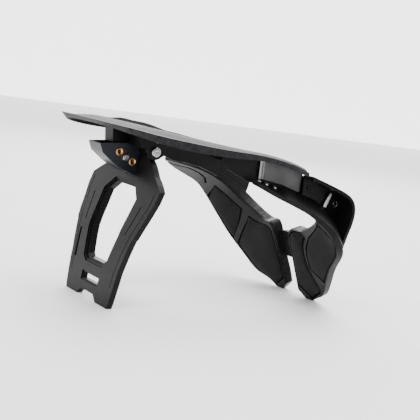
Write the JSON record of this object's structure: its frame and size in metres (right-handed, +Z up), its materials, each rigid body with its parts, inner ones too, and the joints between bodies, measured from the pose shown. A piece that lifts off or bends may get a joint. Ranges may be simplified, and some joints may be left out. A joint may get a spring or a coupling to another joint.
{
  "type": "motocross neck brace",
  "caption": "Rigid protective neck brace with a saucer-shaped collar, padded chest wings and a tilting back strut, standing on its feet.",
  "frame": {"origin": "on the floor under the middle of the whole brace's bounding box", "axes": "+Z up, +Y the way the wearer faces, +X the wearer's right"},
  "size_m": [0.2226, 0.2814, 0.1693],
  "materials": {
    "collar_plate": "fine-grained dark grey, glossy on top",
    "frame_nylon": "matte black glass-filled nylon",
    "hub_housing": "satin slate grey",
    "satin_panel": "satin grey",
    "pad_foam": "matte dark grey moulded foam",
    "screw_steel": "plain steel",
    "bush_brass": "orange-gold anodised look"
  },
  "bodies": {
    "brace": {"collar_rear_plate": "collar_plate", "collar_side_plate_right": "collar_plate", "collar_side_plate_left": "collar_plate", "collar_post": "frame_nylon", "centre_clasp": "frame_nylon", "neck_wall_right": "frame_nylon", "neck_wall_left": "frame_nylon", "chest_wing_right": "frame_nylon", "chest_wing_left": "frame_nylon", "front_shell_right": "frame_nylon", "front_shell_left": "frame_nylon", "side_panel_right": "satin_panel", "side_panel_left": "satin_panel", "shoulder_pad_right": "pad_foam", "shoulder_pad_left": "pad_foam", "chest_pad_right": "pad_foam", "chest_pad_left": "pad_foam", "front_pin_right": "screw_steel", "front_pin_left": "screw_steel", "pin_ring_right": "screw_steel", "pin_ring_left": "screw_steel", "pivot_screw_right": "screw_steel", "pivot_screw_left": "screw_steel", "wing_rivet_right_1": "screw_steel", "wing_rivet_right_2": "screw_steel", "wing_rivet_right_3": "screw_steel", "wing_rivet_left_1": "screw_steel", "wing_rivet_left_2": "screw_steel", "wing_rivet_left_3": "screw_steel"},
    "strut": {"back_strut": "frame_nylon", "strut_hub": "hub_housing", "hub_insert_rear_right": "bush_brass", "hub_insert_rear_left": "bush_brass", "hub_insert_front_right": "bush_brass", "hub_insert_front_left": "bush_brass", "lock_screw_right": "screw_steel", "lock_screw_left": "screw_steel"}
  },
  "joints": [
    {"name": "strut_tilt", "type": "hinge", "parent": "brace", "child": "strut", "pos_m": [0, -0.0846, 0.145], "axis": [1, 0, 0], "range_deg": [-6, 6]}
  ]
}
